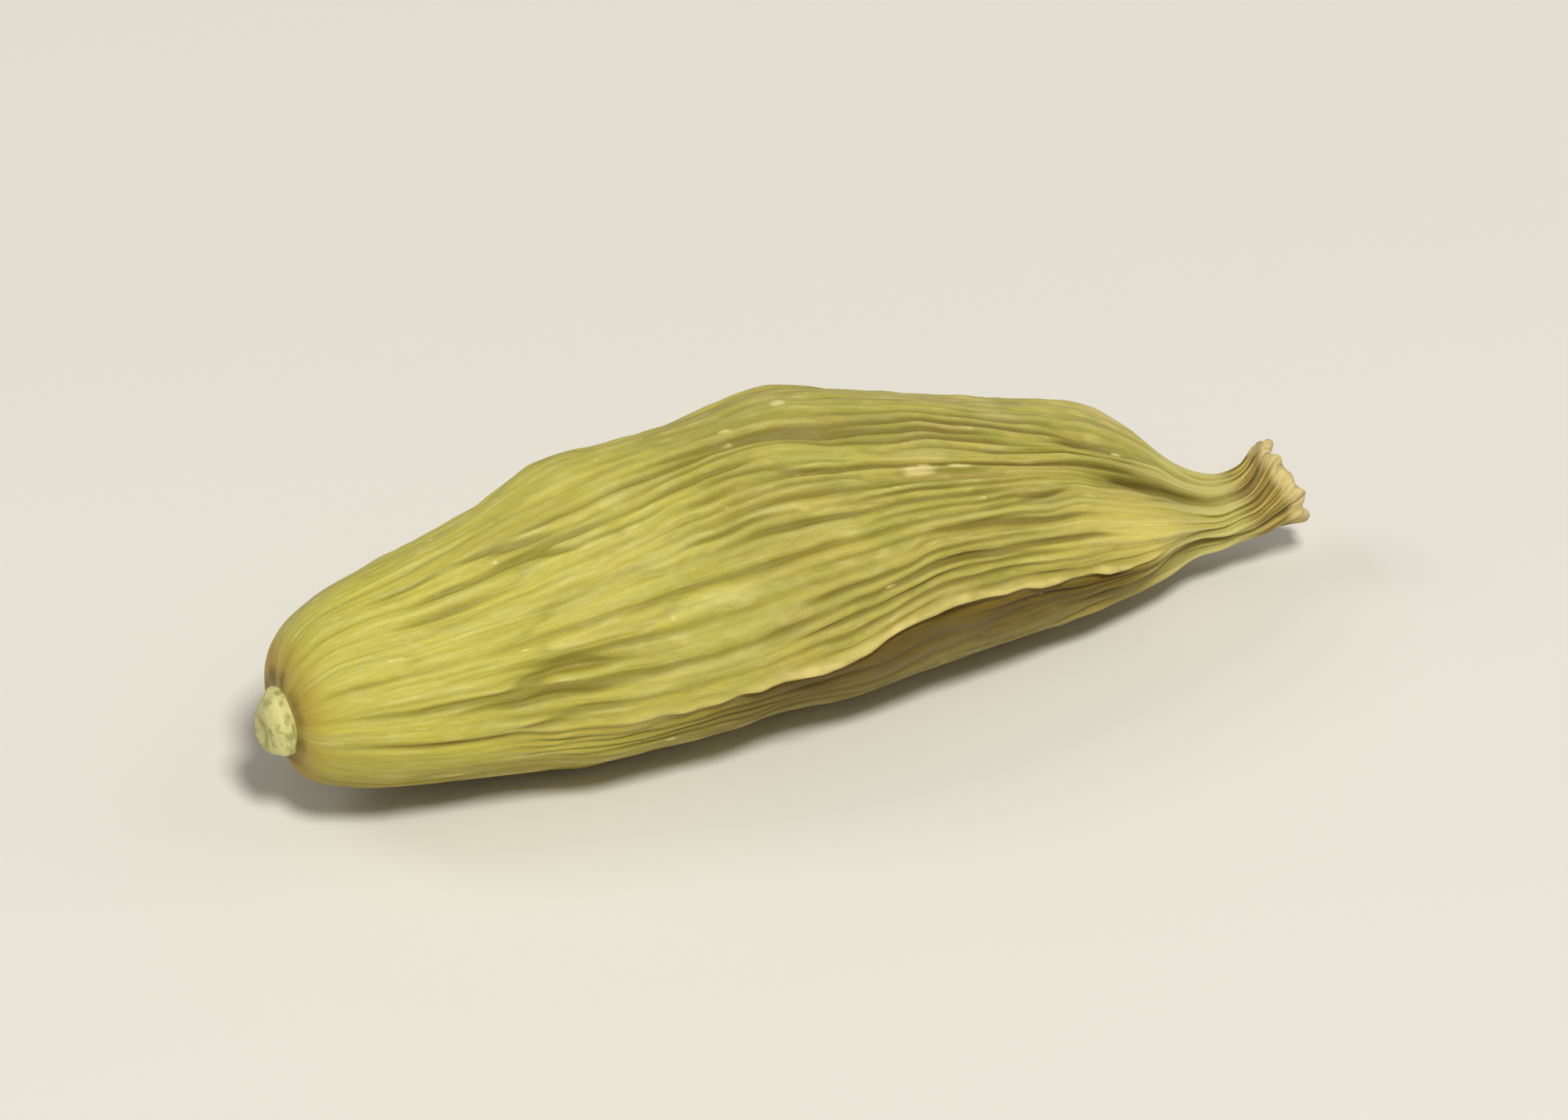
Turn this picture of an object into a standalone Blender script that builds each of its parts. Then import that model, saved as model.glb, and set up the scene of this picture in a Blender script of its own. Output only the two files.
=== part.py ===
"""A dried green cardamom pod, lying on its side.

The pod is one grown piece, so it is one closed solid: a rounded three-sided husk, drawn out along +X from the
pale nub at its blunt end, over the ribbed body, to the pleated neck and the open dry stub at the other end.
It starts as a UV sphere, whose rings are moved to places along the pod's outline and given its ribs by a formula.
The pod rests on z = 0, on a small flat spot of its underside.
"""

import random

import bmesh
import bpy
import numpy as np

# The shape is worked out in millimetres and degrees, and becomes metres when the mesh is made.
METRES_PER_MM = 0.001

NUB_RADIUS = 0.66

# Outline from the nub to the stub: place along the pod, radius, and rings up to the next point.
OUTLINE = [
    (0.08, 0.00, 1),  # dimple in the nub's end
    (0.03, 0.20, 1),
    (0.00, 0.38, 1),
    (0.12, 0.58, 1),
    (0.30, NUB_RADIUS, 1),  # nub at its widest
    (0.44, 0.59, 1),  # crease where the nub meets the husk
    (0.47, 0.82, 1),
    (0.60, 1.22, 1),
    (0.85, 1.50, 1),  # blunt shoulder
    (1.25, 1.74, 1),
    (1.95, 1.98, 1),
    (2.90, 2.15, 2),
    (5.00, 2.51, 2),
    (6.30, 2.74, 2),
    (7.60, 2.86, 2),
    (8.90, 2.95, 2),
    (10.0, 2.98, 2),  # girth
    (11.0, 2.96, 2),
    (12.0, 2.88, 2),
    (13.1, 2.71, 2),
    (14.2, 2.50, 2),
    (15.4, 2.25, 2),
    (16.4, 2.05, 2),
    (17.3, 1.82, 2),  # last seed
    (18.3, 1.41, 2),
    (19.1, 0.98, 1),
    (19.7, 0.75, 1),
    (20.3, 0.62, 1),  # neck
    (20.7, 0.64, 1),
    (21.0, 0.74, 1),
    (21.30, 0.88, 1),  # rim of the stub
    (21.40, 0.80, 1),
    (21.30, 0.65, 1),
    (21.0, 0.47, 1),
    (20.8, 0.28, 1),
    (20.7, 0.00, 0),  # bottom of the stub's hollow
]

# The pod bends in one plane that leans back: place along the pod, and offset in that plane.
BEND = [(0.0, 0.30), (0.7, 0.50), (1.3, 0.58), (2.9, 0.58), (5.0, 0.60), (7.6, 0.69), (10.0, 0.80), (11.5, 0.79),
        (13.1, 0.68), (15.5, 0.40), (17.2, 0.15), (18.3, -0.15), (19.1, -0.41), (19.9, -0.59), (20.4, -0.60),
        (21.3, -0.38)]
BEND_BACK = 0.45
BEND_UP = 0.93

# The stub's rings lean back, so that it opens upwards: place, and lean in degrees.
LEAN = [(18.5, 0.0), (20.0, 8.0), (20.7, 16.0), (21.3, 19.0)]
# The neck's pleats twist round it: place, and turn in degrees.
TWIST = [(16.5, 0.0), (19.4, -9.0), (20.2, -2.0), (21.3, 30.0)]

# Where the husk's own bumps and strays fade, towards the nub and the neck.
HUSK_ALONG = [(0.6, 0.0), (3.0, 1.0), (19.0, 1.0), (20.3, 0.0)]

# Three rounded angles run along the husk, and each carries a thin raised seam.
ANGLES = 3
FIRST_ANGLE = 2.0
THREE_SIDED = 0.06
THREE_SIDED_ALONG = [(0.9, 0.0), (3.5, 1.0), (16.5, 1.0), (19.8, 0.0)]
SEAM_HEIGHT = 0.11
SEAM_HALF_WIDTH = 3.6
SEAM_ALONG = [(5.0, 0.0), (10.5, 1.0), (17.5, 1.0), (19.6, 0.0)]

# Ribs, as the grooves between them: all round, each of its own depth, and faint beside the upper angle. Every
# second groove starts farther from the nub, so that the ribs branch there.
RIBS = 36
SEGMENTS_PER_RIB = 3
GROOVE_DEPTH = 0.13
GROOVE_SHAPE = 1.5
GROOVE_SHARES = (0.4, 1.15)
GROOVE_MEAN = 0.75
GROOVE_SWING = 0.25
GROOVE_SWING_RATE = 0.55
GROOVE_ALONG = [(0.50, 0.0), (0.75, 0.35), (2.2, 0.9), (6.0, 1.0), (16.5, 1.0), (19.0, 0.45), (20.0, 0.0)]
ODD_GROOVES_ALONG = [(1.5, 0.15), (6.5, 1.0)]
SMOOTH_ANGLE = 1
SMOOTH_HALF_WIDTH = 17.0
SMOOTH_SHARE = 0.75

# The front seam strays up and down, and so do the ribs of the upper side: angle, half width in degrees, and rows of
# place and turn.
LOCAL_STRAYS = [
    (2.0, 28.0, [(3.5, -6.0), (6.5, -6.0), (8.5, -4.8), (10.2, -5.0), (11.6, -2.0), (13.3, 3.8), (14.4, 3.0),
                 (15.6, -0.5), (16.5, -2.5), (17.2, -2.0), (17.9, 2.0), (18.6, 7.0), (20.0, 0.0)]),
    (88.0, 26.0, [(7.0, 0.0), (8.3, 0.5), (9.6, 4.0), (10.4, 3.0), (11.3, -2.5), (11.9, -6.5), (13.4, -8.5),
                  (15.5, -7.5), (17.2, -7.5), (18.6, 0.0)]),
]
# The ribs stray to the side in two waves: size in degrees, turns round the pod, radians along a millimetre, start.
STRAYS = [(2.2, 2, 0.35, 1.0), (1.3, 5, -0.6, 2.0)]

# Pleats that gather the neck and flute the stub, as a share of the radius.
PLEATS = (9, 13)
PLEAT_SHARE = 0.13
PLEATS_ALONG = [(15.5, 0.0), (18.6, 0.75), (20.2, 1.0), (21.3, 0.4)]

# The nub is a little lobed with an uneven end, and the stub's rim is torn.
NUB_LOBES = (2, 3, 7)
NUB_LOBE_SHARE = 0.12
NUB_SADDLE = 0.08
NUB_SADDLE_TURN = -70.0
NUB_ALONG = [(0.32, 1.0), (0.50, 0.0)]
TORN = 0.12
TORN_TEETH = (4, 7, 11)
TORN_ALONG = [(20.6, 0.0), (21.25, 1.0)]

# Seeds push the dry husk out in soft lumps, two rows to a side.
SEED_ROWS = 6
SEED_SPACING = 2.9
SEED_PLACES = (4.2, 16.6)
SEED_HEIGHT = 0.10
SEED_HALF_LENGTH = 1.25
SEED_HALF_WIDTH = 19.0
SEED_SHIFT_ALONG = 0.4
SEED_SHIFT_ROUND = 6.0
SEED_LEVEL = 0.5

# Folds and bulges of their own: place, angle, half length, half width in degrees, and height.
FOLDS = [
    (6.7, 127.0, 1.1, 26.0, 0.24),
    (9.5, 125.0, 1.0, 24.0, -0.10),
    (11.2, 125.0, 1.3, 26.0, 0.12),
    (17.8, 125.0, 1.0, 24.0, 0.20),
    (5.1, 25.5, 0.9, 3.6, -0.16),
    (5.4, 20.5, 1.0, 3.6, 0.13),
    (4.9, 15.5, 1.7, 3.6, -0.10),
    (18.2, 59.0, 1.3, 9.0, -0.26),
    (17.0, 92.0, 1.0, 4.5, -0.12),
    (10.0, 92.0, 1.8, 5.0, -0.15),
    (18.2, 21.0, 0.9, 18.0, 0.26),
    (18.9, -9.0, 0.9, 9.0, -0.22),
    (17.8, -20.0, 1.0, 12.0, 0.10),
    (9.2, 44.0, 1.9, 4.5, -0.08),
    (13.6, 62.5, 1.8, 4.0, -0.09),
    (17.9, 178.0, 1.2, 11.0, -0.20),
    (7.5, 205.0, 1.6, 6.0, -0.12),
    (4.5, 299.0, 3.5, 34.0, 0.17),
    (13.6, 305.0, 2.8, 32.0, 0.14),
    (16.3, 318.0, 1.3, 26.0, 0.14),
]

# How far the underside is pressed flat where the pod lies.
REST_PRESS = 0.30

# Between the starts of the ripples that make up a wave, in radians.
WAVE_STEP = 1.7

SEED = 11
HUSK_COLOUR = (0.36, 0.33, 0.10, 1.0)
HUSK_ROUGHNESS = 0.62


def clear_scene():
    for obj in list(bpy.data.objects):
        bpy.data.objects.remove(obj)


def eased(at, rows):
    """A smooth curve through rows of (place, value) that never overshoots them, read at the places in at."""
    places, values = np.array(rows, float).T
    run = np.diff(places)
    slope = np.diff(values) / run
    turn = np.concatenate([slope[:1], np.zeros(len(slope) - 1), slope[-1:]])
    before, after = slope[:-1], slope[1:]
    level = before * after <= 0
    total = np.where(level, 1.0, before + after)
    turn[1:-1] = np.where(level, 0.0, 2 * before * after / total)
    at = np.clip(at, places[0], places[-1])
    i = np.clip(np.searchsorted(places, at, side="right") - 1, 0, len(run) - 1)
    t = (at - places[i]) / run[i]
    start = values[i] * (1 + 2 * t) + turn[i] * run[i] * t
    end = values[i + 1] * (3 - 2 * t) - turn[i + 1] * run[i] * (1 - t)
    return start * (1 - t) ** 2 + end * t**2


def outline_rings():
    """Place along the pod and radius of every ring, from the nub's end to the bottom of the stub's hollow."""
    along, radius, steps = np.array(OUTLINE, float).T
    walked = np.concatenate([[0.0], np.cumsum(np.hypot(np.diff(along), np.diff(radius)))])
    stops = [np.linspace(walked[i], walked[i + 1], int(n), endpoint=False) for i, n in enumerate(steps[:-1])]
    stops = np.concatenate([*stops, walked[-1:]])
    return eased(stops, np.stack([walked, along], 1)), eased(stops, np.stack([walked, radius], 1))


def apart(angle, other):
    """The angle between two directions round the pod, in degrees, from -180 to 180."""
    return (angle - other + 180.0) % 360.0 - 180.0


def bump(distance, half_width):
    return np.exp(-((distance / half_width) ** 2))


def grooves(x, angle):
    """Depth of the grooves between the ribs, which deepen and fade along the pod, each in its own way."""
    draw = random.Random(SEED)
    share = np.array([draw.uniform(*GROOVE_SHARES) for _ in range(RIBS)])
    start = np.array([draw.uniform(0.0, 2 * np.pi) for _ in range(RIBS)])
    phase = angle * RIBS / 360.0
    nearest = np.round(phase).astype(int) % RIBS
    valley = ((1 + np.cos(2 * np.pi * phase)) / 2) ** GROOVE_SHAPE
    valley = valley * np.where(nearest % 2 == 1, eased(x, ODD_GROOVES_ALONG), 1.0)
    fading = GROOVE_MEAN + GROOVE_SWING * np.sin(GROOVE_SWING_RATE * x + start[nearest])
    smooth = 1 - SMOOTH_SHARE * bump(apart(angle, FIRST_ANGLE + SMOOTH_ANGLE * 360.0 / ANGLES), SMOOTH_HALF_WIDTH)
    return GROOVE_DEPTH * share[nearest] * fading * smooth * valley * eased(x, GROOVE_ALONG)


def seams(x, angle):
    """The thin raised seam along each of the three angles."""
    height = 0.0
    for k in range(ANGLES):
        height = height + bump(apart(angle, FIRST_ANGLE + k * 360.0 / ANGLES), SEAM_HALF_WIDTH)
    return SEAM_HEIGHT * height * eased(x, SEAM_ALONG)


def seed_lumps(x, angle):
    """Soft lumps over the rows of seeds, each a little out of its place."""
    draw = random.Random(SEED + 1)
    first, last = SEED_PLACES
    height = 0.0
    for row in range(SEED_ROWS):
        middle = FIRST_ANGLE + (row + 0.5) * 360.0 / SEED_ROWS
        place = first + (row % 2) * SEED_SPACING / 2
        while place < last:
            here = place + SEED_SHIFT_ALONG * draw.uniform(-1, 1)
            aside = middle + SEED_SHIFT_ROUND * draw.uniform(-1, 1)
            height = height + bump(x - here, SEED_HALF_LENGTH) * bump(apart(angle, aside), SEED_HALF_WIDTH)
            place += SEED_SPACING
    return SEED_HEIGHT * (height - SEED_LEVEL)


def folds(x, angle):
    height = 0.0
    for place, middle, half_length, half_width, rise in FOLDS:
        height = height + rise * bump(x - place, half_length) * bump(apart(angle, middle), half_width)
    return height


def wave(angle, *turns):
    """A ripple round the pod, from its numbers of turns."""
    total = 0.0
    for k, n in enumerate(turns):
        total = total + np.cos(np.radians(n * angle) + WAVE_STEP * k)
    return total / len(turns)


def wander(x, angle):
    """How far the ribs stray to the side of a straight run, in degrees."""
    stray = 0.0
    for middle, half_width, rows in LOCAL_STRAYS:
        stray = stray + eased(x, rows) * bump(apart(angle, middle), half_width)
    for size, turns, rate, start in STRAYS:
        stray = stray + size * np.sin(np.radians(turns * angle) + rate * x + start)
    return stray


def pod_surface(x, radius, angle):
    """Points of the pod, in millimetres, for places along it and angles round it: 0 faces -Y and 90 faces up."""
    side = np.cos(np.radians(ANGLES * (angle - FIRST_ANGLE)))
    body = 1 + THREE_SIDED * side * eased(x, THREE_SIDED_ALONG)
    body = body + PLEAT_SHARE * wave(angle, *PLEATS) * eased(x, PLEATS_ALONG)
    body = body + NUB_LOBE_SHARE * wave(angle, *NUB_LOBES) * eased(x, NUB_ALONG)
    husk = eased(x, HUSK_ALONG)
    relief = seams(x, angle) - grooves(x, angle) + husk * (seed_lumps(x, angle) + folds(x, angle))
    reach = radius * body + relief
    turned = np.radians(angle + husk * wander(x, angle) + eased(x, TWIST))
    lean = np.radians(eased(x, LEAN))
    torn = TORN * wave(angle, *TORN_TEETH) * eased(x, TORN_ALONG)
    saddle = NUB_SADDLE * wave(angle + NUB_SADDLE_TURN, 2) * (radius / NUB_RADIUS) ** 2 * eased(x, NUB_ALONG)
    bend = eased(x, BEND)
    up = reach * np.sin(turned)
    across = -reach * np.cos(turned)
    return np.stack([
        x - up * np.sin(lean) + torn * np.cos(lean) - saddle,
        BEND_BACK * bend + across,
        BEND_UP * bend + up * np.cos(lean) + torn * np.sin(lean),
    ], axis=-1)


def laid_down(points):
    """The points moved so that the pod lies on z = 0 with its box centred on the origin, and its flat spot pressed."""
    low, high = points.min(axis=0), points.max(axis=0)
    middle = (low + high) / 2
    points = points - [middle[0], middle[1], low[2] + REST_PRESS]
    points[:, 2] = np.maximum(points[:, 2], 0.0)
    return points


def husk_material():
    material = bpy.data.materials.new("cardamom_husk")
    material.use_nodes = True
    shader = material.node_tree.nodes["Principled BSDF"]
    shader.inputs["Base Color"].default_value = HUSK_COLOUR
    shader.inputs["Roughness"].default_value = HUSK_ROUGHNESS
    shader.inputs["Metallic"].default_value = 0.0
    return material


def make_pod():
    along, radius = outline_rings()
    rings = len(along) - 1
    mesh = bpy.data.meshes.new("cardamom_pod")
    bm = bmesh.new()
    bmesh.ops.create_uvsphere(bm, u_segments=RIBS * SEGMENTS_PER_RIB, v_segments=rings, radius=1.0)
    unit = np.array([v.co for v in bm.verts])
    ring = np.round(np.arccos(np.clip(-unit[:, 2], -1, 1)) * rings / np.pi).astype(int)
    angle = np.degrees(np.arctan2(unit[:, 1], unit[:, 0]))
    points = laid_down(pod_surface(along[ring], radius[ring], angle)) * METRES_PER_MM
    for vertex, point in zip(bm.verts, points):
        vertex.co = point
    bmesh.ops.recalc_face_normals(bm, faces=bm.faces)
    bm.to_mesh(mesh)
    bm.free()
    mesh.shade_smooth()
    mesh.materials.append(husk_material())
    pod = bpy.data.objects.new("cardamom_pod", mesh)
    collection = bpy.data.collections.new("green cardamom pod")
    bpy.context.scene.collection.children.link(collection)
    collection.objects.link(pod)
    return pod


clear_scene()
make_pod()
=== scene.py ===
"""The looks of a dried green cardamom pod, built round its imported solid.

One fine mesh takes the place of the solid. It has the same outline, ribs, seams, folds and seed lumps, by the
same formulas, and adds the wrinkles, beads, creases and specks that are too small for the solid. The pod is
worked out in millimetres and degrees, and becomes metres when the mesh is made.
"""

import random

import bmesh
import bpy
import numpy as np
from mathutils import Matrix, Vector


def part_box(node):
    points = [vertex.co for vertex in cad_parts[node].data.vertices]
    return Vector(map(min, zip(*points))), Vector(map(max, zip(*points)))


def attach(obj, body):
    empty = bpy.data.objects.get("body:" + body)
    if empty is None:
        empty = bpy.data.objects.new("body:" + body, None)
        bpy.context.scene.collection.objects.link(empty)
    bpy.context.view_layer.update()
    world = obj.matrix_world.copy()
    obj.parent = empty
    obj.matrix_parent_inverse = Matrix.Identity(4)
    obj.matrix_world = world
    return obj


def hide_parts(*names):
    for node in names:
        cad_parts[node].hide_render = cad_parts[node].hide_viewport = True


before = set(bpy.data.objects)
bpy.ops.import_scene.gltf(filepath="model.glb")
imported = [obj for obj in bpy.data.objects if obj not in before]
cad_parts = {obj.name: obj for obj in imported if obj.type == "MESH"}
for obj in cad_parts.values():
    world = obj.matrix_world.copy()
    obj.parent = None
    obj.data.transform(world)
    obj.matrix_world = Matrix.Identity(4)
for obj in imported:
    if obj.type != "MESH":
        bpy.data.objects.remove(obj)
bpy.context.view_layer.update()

NODE = "cardamom_pod"
METRES_PER_MM = 0.001

# The photograph's view of the pod, and how much of the picture's width the pod takes up here.
AZIMUTH = -25.0
ELEVATION = 37.0
POD_SHARE_OF_WIDTH = 0.66
CAMERA_DISTANCE = 0.45
CLIP_START = 0.01
SENSOR_WIDTH = 36.0

# Soft studio: each light's name, azimuth, elevation, distance, size, power and colour.
LIGHTS = [
    ("key", -8.0, 58.0, 0.40, 0.09, 1.20, (1.0, 0.985, 0.93)),
    ("fill", 75.0, 35.0, 0.45, 0.35, 0.12, (1.0, 1.0, 1.0)),
    ("back", -125.0, 42.0, 0.45, 0.20, 0.26, (1.0, 1.0, 1.0)),
]
WORLD_COLOUR = (1.0, 0.98, 0.93, 1.0)
WORLD_STRENGTH = 0.24
FLOOR_SIZE = 4.0
FLOOR_ROUGHNESS = 0.7

# Fineness of the mesh, and how the rings crowd together at the nub and the stub: place, and crowding.
SEGMENTS = 396
RINGS = 248
STEPS_PER_RING = 20
CROWDING = [(0.9, 3.0), (2.0, 1.0), (19.6, 1.0), (20.8, 1.8)]

NUB_RADIUS = 0.66
NUB_END = 0.45

# Outline from the nub to the stub: place along the pod, and radius.
OUTLINE = [
    (0.08, 0.00),  # dimple in the nub's end
    (0.03, 0.20),
    (0.00, 0.38),
    (0.12, 0.58),
    (0.30, NUB_RADIUS),  # nub at its widest
    (0.44, 0.59),  # crease where the nub meets the husk
    (0.47, 0.82),
    (0.60, 1.22),
    (0.85, 1.50),  # blunt shoulder
    (1.25, 1.74),
    (1.95, 1.98),
    (2.90, 2.15),
    (5.00, 2.51),
    (6.30, 2.74),
    (7.60, 2.86),
    (8.90, 2.95),
    (10.0, 2.98),  # girth
    (11.0, 2.96),
    (12.0, 2.88),
    (13.1, 2.71),
    (14.2, 2.50),
    (15.4, 2.25),
    (16.4, 2.05),
    (17.3, 1.82),  # last seed
    (18.3, 1.41),
    (19.1, 0.98),
    (19.7, 0.75),
    (20.3, 0.62),  # neck
    (20.7, 0.64),
    (21.0, 0.74),
    (21.30, 0.88),  # rim of the stub
    (21.40, 0.80),
    (21.30, 0.65),
    (21.0, 0.47),
    (20.8, 0.28),
    (20.7, 0.00),  # bottom of the stub's hollow
]

# The pod bends in one plane that leans back: place along the pod, and offset in that plane.
BEND = [(0.0, 0.30), (0.7, 0.50), (1.3, 0.58), (2.9, 0.58), (5.0, 0.60), (7.6, 0.69), (10.0, 0.80),
        (11.5, 0.79), (13.1, 0.68), (15.5, 0.40), (17.2, 0.15), (18.3, -0.15), (19.1, -0.41), (19.9, -0.59),
        (20.4, -0.60), (21.3, -0.38)]
BEND_BACK = 0.45
BEND_UP = 0.93

# The stub's rings lean back, so that it opens upwards: place, and lean in degrees.
LEAN = [(18.5, 0.0), (20.0, 8.0), (20.7, 16.0), (21.3, 19.0)]
# The neck's pleats twist round it: place, and turn in degrees.
TWIST = [(16.5, 0.0), (19.4, -9.0), (20.2, -2.0), (21.3, 30.0)]

# Where the husk's own bumps and strays fade, towards the nub and the neck.
HUSK_ALONG = [(0.6, 0.0), (3.0, 1.0), (19.0, 1.0), (20.3, 0.0)]

# Three rounded angles, each with a seam. The seams are narrower here than in the solid, crooked and toothed,
# and each has a share of the front one's height.
ANGLES = 3
FIRST_ANGLE = 2.0
THREE_SIDED = 0.06
THREE_SIDED_ALONG = [(0.9, 0.0), (3.5, 1.0), (16.5, 1.0), (19.8, 0.0)]
SEAM_HEIGHT = 0.15
SEAM_HALF_WIDTH = 1.7
SEAM_SHARES = (1.0, 0.3, 0.7)
SEAM_TOOTH_MEAN = 0.9
SEAM_ALONG = [(5.0, 0.0), (10.5, 1.0), (16.8, 1.0), (18.6, 0.0)]

# Ribs, as the grooves between them, which are narrower here than in the solid. Every second groove starts
# farther from the nub, so that the ribs branch there.
RIBS = 36
GROOVE_DEPTH = 0.13
GROOVE_SHAPE = [(2.0, 1.6), (7.0, 3.0), (13.0, 3.8)]
GROOVE_SHARES = (0.4, 1.15)
GROOVE_MEAN = 0.75
GROOVE_SWING = 0.25
GROOVE_SWING_RATE = 0.55
GROOVE_FADING = (0.15, 1.4)
GROOVE_SCALE = 0.90
GROOVE_ALONG = [(0.50, 0.0), (0.75, 0.5), (1.6, 0.95), (6.0, 1.0), (16.5, 1.0), (19.0, 0.45), (20.0, 0.0)]
ODD_GROOVES_ALONG = [(1.5, 0.15), (6.5, 1.0)]
# Here and there a thin groove splits a rib's crest.
SPLIT_DEPTH = 0.11
SPLIT_SHAPE = 7
SPLIT_OFTEN = 0.45
SPLIT_ALONG = [(2.0, 0.3), (8.0, 1.0), (12.0, 1.0), (15.0, 0.75)]
# The ribs are faint beside the upper angle.
SMOOTH_ANGLE = 1
SMOOTH_HALF_WIDTH = 17.0
SMOOTH_SHARE = 0.75
# They fade on the bulge beside the neck: its place and angle, and half length and half width.
BARE_BULGE = (17.9, 22.0, 1.7, 16.0)
BARE_SHARE = 0.85
# They are deeper on the upper side, towards the neck: angle and half width.
DEEPER_ALONG = [(6.0, 0.0), (10.0, 1.0), (16.0, 1.0), (18.5, 0.0)]
DEEPER_ROUND = (80.0, 34.0)
DEEPER_SHARE = 0.30
# They are fainter under the front seam: angle and half width.
FAINT_ROUND = (-28.0, 20.0)
FAINT_SHARE = 0.45

# The front seam strays up and down, and so do the ribs of the upper side: angle, half width in degrees, and
# rows of place and turn.
LOCAL_STRAYS = [
    (2.0, 28.0, [(3.5, -6.0), (6.5, -6.0), (8.5, -4.8), (10.2, -5.0), (11.6, -2.0), (13.3, 3.8), (14.4, 3.0),
                 (15.6, -0.5), (16.5, -2.5), (17.2, -2.0), (17.9, 2.0), (18.6, 7.0), (20.0, 0.0)]),
    (88.0, 26.0, [(7.0, 0.0), (8.3, 0.5), (9.6, 4.0), (10.4, 3.0), (11.3, -2.5), (11.9, -6.5), (13.4, -8.5),
                  (15.5, -7.5), (17.2, -7.5), (18.6, 0.0)]),
]
# All ribs stray to the side in two waves: size in degrees, turns round the pod, radians along a millimetre,
# and start.
STRAYS = [(2.2, 2, 0.35, 1.0), (1.3, 5, -0.6, 2.0)]

# Pleats that gather the neck and flute the stub, coarse and fine, as a share of the radius.
PLEATS = (9, 13)
PLEAT_SHARE = 0.13
FINE_PLEATS = (25, 34)
FINE_PLEAT_SHARE = 0.045
PLEATS_ALONG = [(15.5, 0.0), (18.6, 0.75), (20.2, 1.0), (21.3, 0.4)]
# How far the coarse and the fine pleats each count in the stub's colour, painted brown as shade between its
# flutes.
FLUTE_SHARES = (0.55, 0.45)

# The nub is a little lobed with an uneven end, and the stub's rim is torn.
NUB_LOBES = (2, 3, 7)
NUB_LOBE_SHARE = 0.12
NUB_SADDLE = 0.08
NUB_SADDLE_TURN = -70.0
NUB_ALONG = [(0.32, 1.0), (0.50, 0.0)]
TORN = 0.12
TORN_TEETH = (4, 7, 11)
TORN_ALONG = [(20.6, 0.0), (21.25, 1.0)]

# Seeds push the dry husk out in soft lumps, two rows to a side.
SEED_ROWS = 6
SEED_SPACING = 2.9
SEED_PLACES = (4.2, 16.6)
SEED_HEIGHT = 0.10
SEED_HALF_LENGTH = 1.25
SEED_HALF_WIDTH = 19.0
SEED_SHIFT_ALONG = 0.4
SEED_SHIFT_ROUND = 6.0
SEED_LEVEL = 0.5

# Folds and bulges of their own: place, angle, half length, half width in degrees, and height.
FOLDS = [
    (6.7, 127.0, 1.1, 26.0, 0.24),
    (9.5, 125.0, 1.0, 24.0, -0.10),
    (11.2, 125.0, 1.3, 26.0, 0.12),
    (17.8, 125.0, 1.0, 24.0, 0.20),
    (5.1, 25.5, 0.9, 3.6, -0.16),
    (5.4, 20.5, 1.0, 3.6, 0.13),
    (4.9, 15.5, 1.7, 3.6, -0.10),
    (18.2, 59.0, 1.3, 9.0, -0.26),
    (17.0, 92.0, 1.0, 4.5, -0.12),
    (10.0, 92.0, 1.8, 5.0, -0.15),
    (18.2, 21.0, 0.9, 18.0, 0.26),
    (18.9, -9.0, 0.9, 9.0, -0.22),
    (17.8, -20.0, 1.0, 12.0, 0.10),
    (9.2, 44.0, 1.9, 4.5, -0.08),
    (13.6, 62.5, 1.8, 4.0, -0.09),
    (17.9, 178.0, 1.2, 11.0, -0.20),
    (7.5, 205.0, 1.6, 6.0, -0.12),
    (4.5, 299.0, 3.5, 34.0, 0.17),
    (13.6, 305.0, 2.8, 32.0, 0.14),
    (16.3, 318.0, 1.3, 26.0, 0.14),
]
# Depth of a fold from which its painted shade is darkest.
DARK_FOLD = 0.2
# Slits too narrow for the solid: place, angle, half length, half width, depth, and drift in degrees a
# millimetre.
SLITS = [
    (10.9, 91.8, 1.7, 2.4, 0.14, 0.0),
    (11.3, 89.0, 1.2, 5.0, 0.06, 0.0),
    (14.8, 95.5, 2.2, 1.8, 0.07, 0.0),
    (17.1, 92.2, 0.7, 2.2, 0.14, 0.0),
    (14.3, 86.3, 1.3, 1.8, 0.06, 0.0),
    (4.6, 23.4, 0.7, 2.6, 0.10, 6.0),
    (5.5, 26.3, 0.7, 2.6, 0.14, -1.0),
    (4.9, 16.5, 1.6, 2.4, 0.12, 0.75),
    (4.9, 6.0, 0.9, 2.2, 0.07, 4.5),
    (3.0, 90.0, 0.9, 2.0, 0.06, 0.0),
    (3.2, 68.0, 1.1, 2.0, 0.07, 0.5),
    (5.0, 87.0, 1.0, 2.0, 0.10, -4.3),
    (5.6, 77.5, 0.7, 2.0, 0.08, -5.5),
    (9.7, 75.5, 1.0, 1.8, 0.07, -1.0),
    (11.0, 71.0, 0.9, 1.8, 0.08, -5.0),
    (15.6, 43.5, 0.7, 1.6, 0.08, 3.0),
    (14.2, 32.7, 2.0, 1.6, 0.09, -0.6),
    (14.0, 18.8, 1.4, 1.6, 0.09, -1.7),
    (17.7, 62.5, 0.6, 1.9, 0.11, 0.0),
    (18.4, 47.5, 0.5, 2.0, 0.10, 8.0),
]

# How far the underside is pressed flat where the pod lies.
REST_PRESS = 0.30
# Between the starts of the ripples that make up a wave, in radians.
WAVE_STEP = 1.7

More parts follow.
